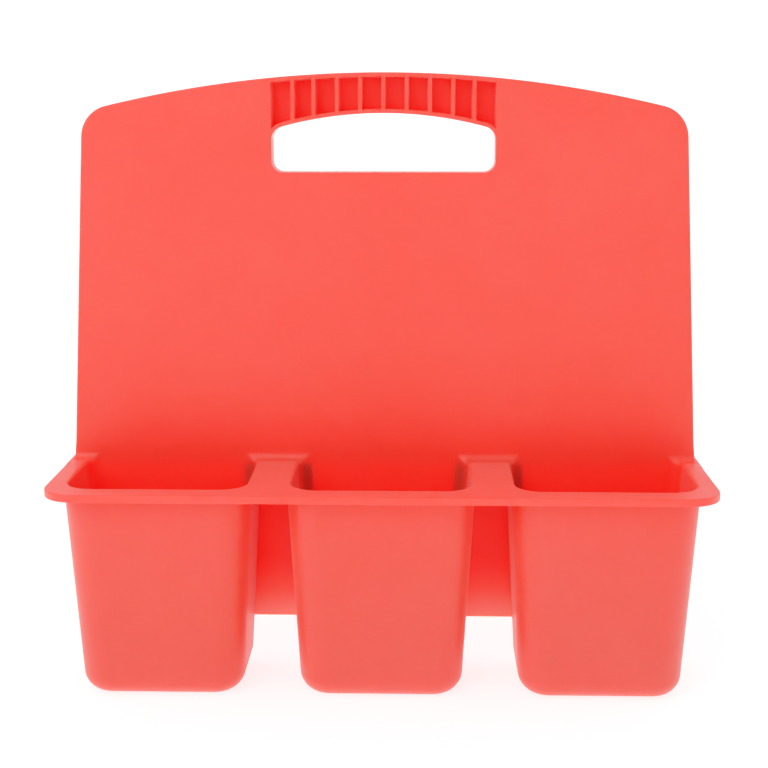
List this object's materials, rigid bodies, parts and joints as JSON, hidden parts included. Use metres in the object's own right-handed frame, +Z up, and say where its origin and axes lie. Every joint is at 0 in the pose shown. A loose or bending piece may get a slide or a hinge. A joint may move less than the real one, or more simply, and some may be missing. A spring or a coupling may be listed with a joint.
{
  "type": "cleaning caddy",
  "caption": "Moulded cleaning caddy: a tall back panel with a ribbed hand grip over a hand hole, and a rimmed deck carrying tapered open cups.",
  "frame": {"origin": "on the floor, below the centre of the rim", "axes": "+X to the right along the row of cups, +Y to the back panel, +Z up"},
  "size_m": [0.3, 0.078, 0.2816],
  "materials": {
    "coral_plastic": "fine satin texture, as moulded polypropylene"
  },
  "bodies": {
    "root": {"back_panel": "coral_plastic", "panel_flange": "coral_plastic", "hand_hole_collar": "coral_plastic", "grip_back": "coral_plastic", "grip_ribs": "coral_plastic", "grip_ends": "coral_plastic", "deck": "coral_plastic", "rim_lip": "coral_plastic", "cup_left": "coral_plastic", "cup_centre": "coral_plastic", "cup_right": "coral_plastic", "web": "coral_plastic"}
  },
  "joints": []
}
